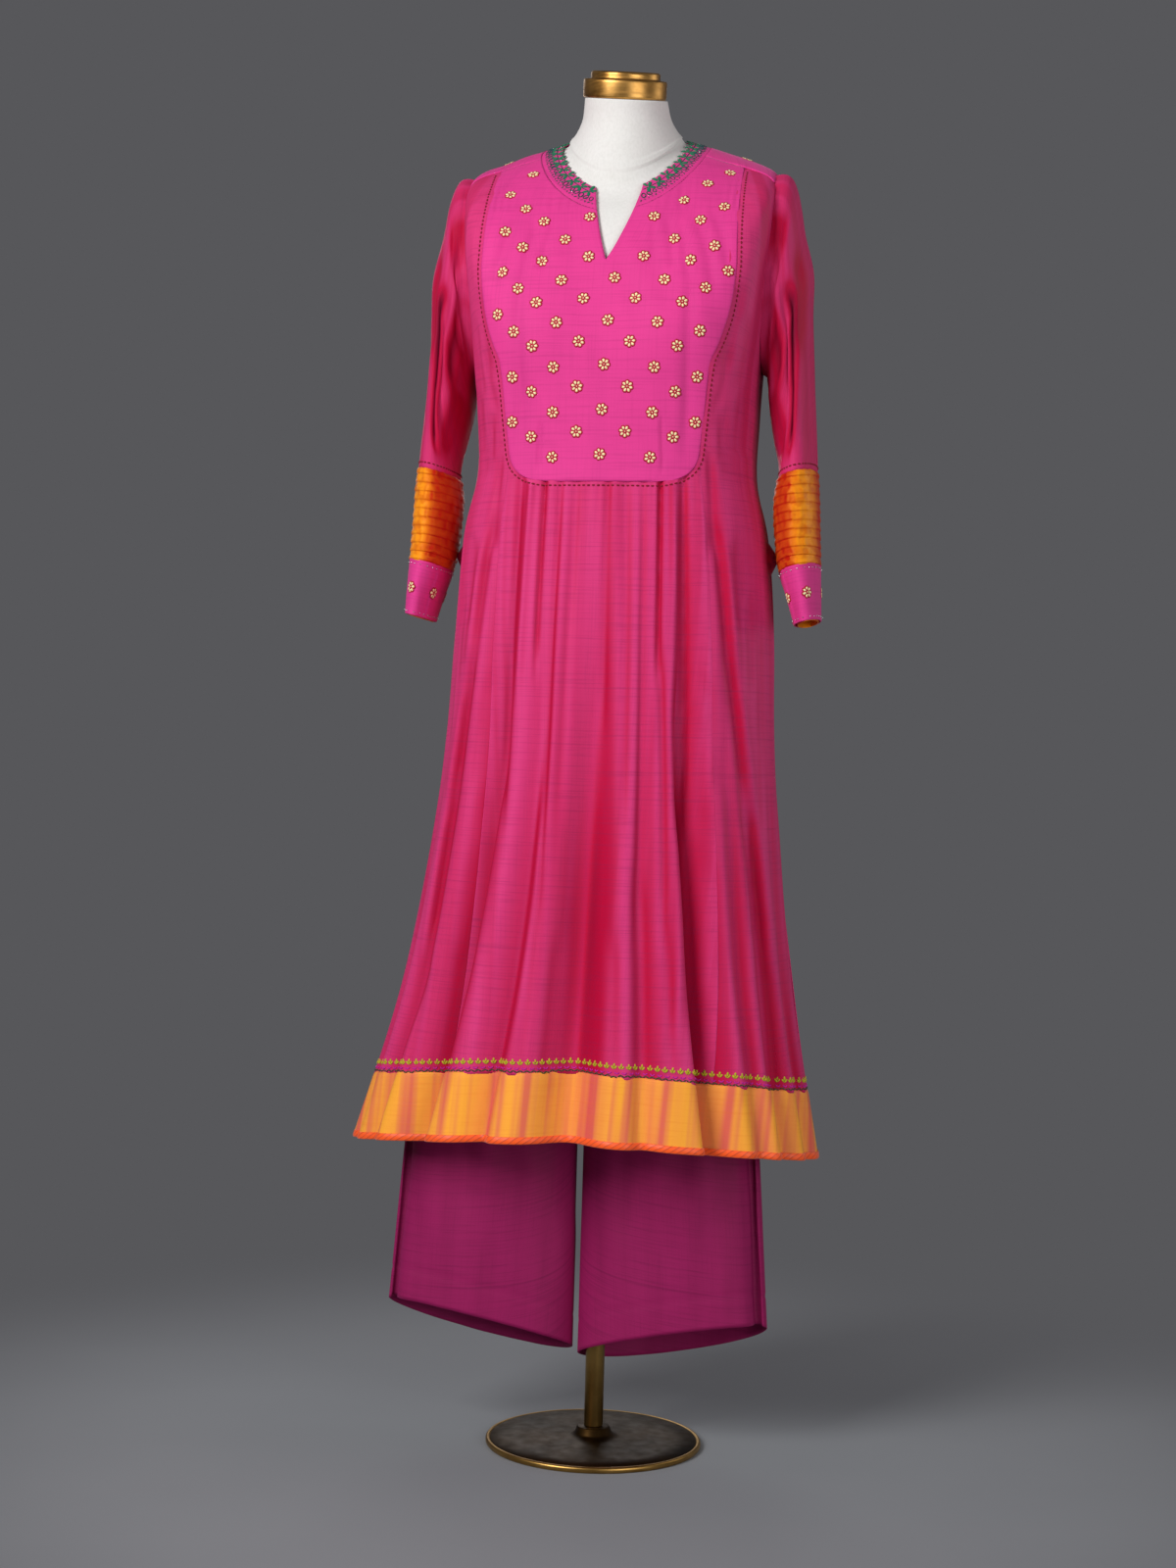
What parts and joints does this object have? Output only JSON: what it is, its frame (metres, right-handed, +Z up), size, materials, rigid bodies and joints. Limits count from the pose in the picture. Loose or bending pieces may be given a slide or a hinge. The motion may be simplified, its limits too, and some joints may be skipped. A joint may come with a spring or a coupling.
{
  "type": "kurti and pants set on a dress form",
  "caption": "Long flared kurti with an embroidered yoke, tucked sleeve bands and a silk border over straight wide pants, worn by a limbless dress form on a round base.",
  "frame": {"origin": "centre of the round base's underside, on the floor", "axes": "+Z up, the front faces -Y, +X is the wearer's left"},
  "size_m": [0.545, 0.3407, 1.596],
  "materials": {
    "silk_rose": "shot silk with a fine slub and a soft sheen",
    "yoke_pink": "matt silk and cotton, embroidered",
    "orange_silk": "shot orange silk, glossy",
    "hem_piping": "orange piping with slanted stripes",
    "trouser_plum": "matt plum cotton",
    "form_cloth": "off-white form cloth",
    "cap_metal": "antique brass, satin",
    "base_metal": "dark bronze with a golden rim"
  },
  "bodies": {
    "root": {"front_side_left": "silk_rose", "front_side_right": "silk_rose", "front_skirt": "silk_rose", "back_panel": "silk_rose", "sleeve_left": "silk_rose", "sleeve_right": "silk_rose", "neck_band": "yoke_pink", "front_yoke": "yoke_pink", "back_yoke": "yoke_pink", "cuff_left": "yoke_pink", "cuff_right": "yoke_pink", "border_front": "orange_silk", "border_back": "orange_silk", "sleeve_band_left": "orange_silk", "sleeve_band_right": "orange_silk", "cuff_facing_left": "orange_silk", "cuff_facing_right": "orange_silk", "hem_binding_front": "hem_piping", "hem_binding_back": "hem_piping", "trousers_front_left": "trouser_plum", "trousers_back_left": "trouser_plum", "trousers_front_right": "trouser_plum", "trousers_back_right": "trouser_plum", "waistband": "trouser_plum", "form_torso": "form_cloth", "neck_cap": "cap_metal", "form_pole": "base_metal", "form_base": "base_metal"}
  },
  "joints": []
}
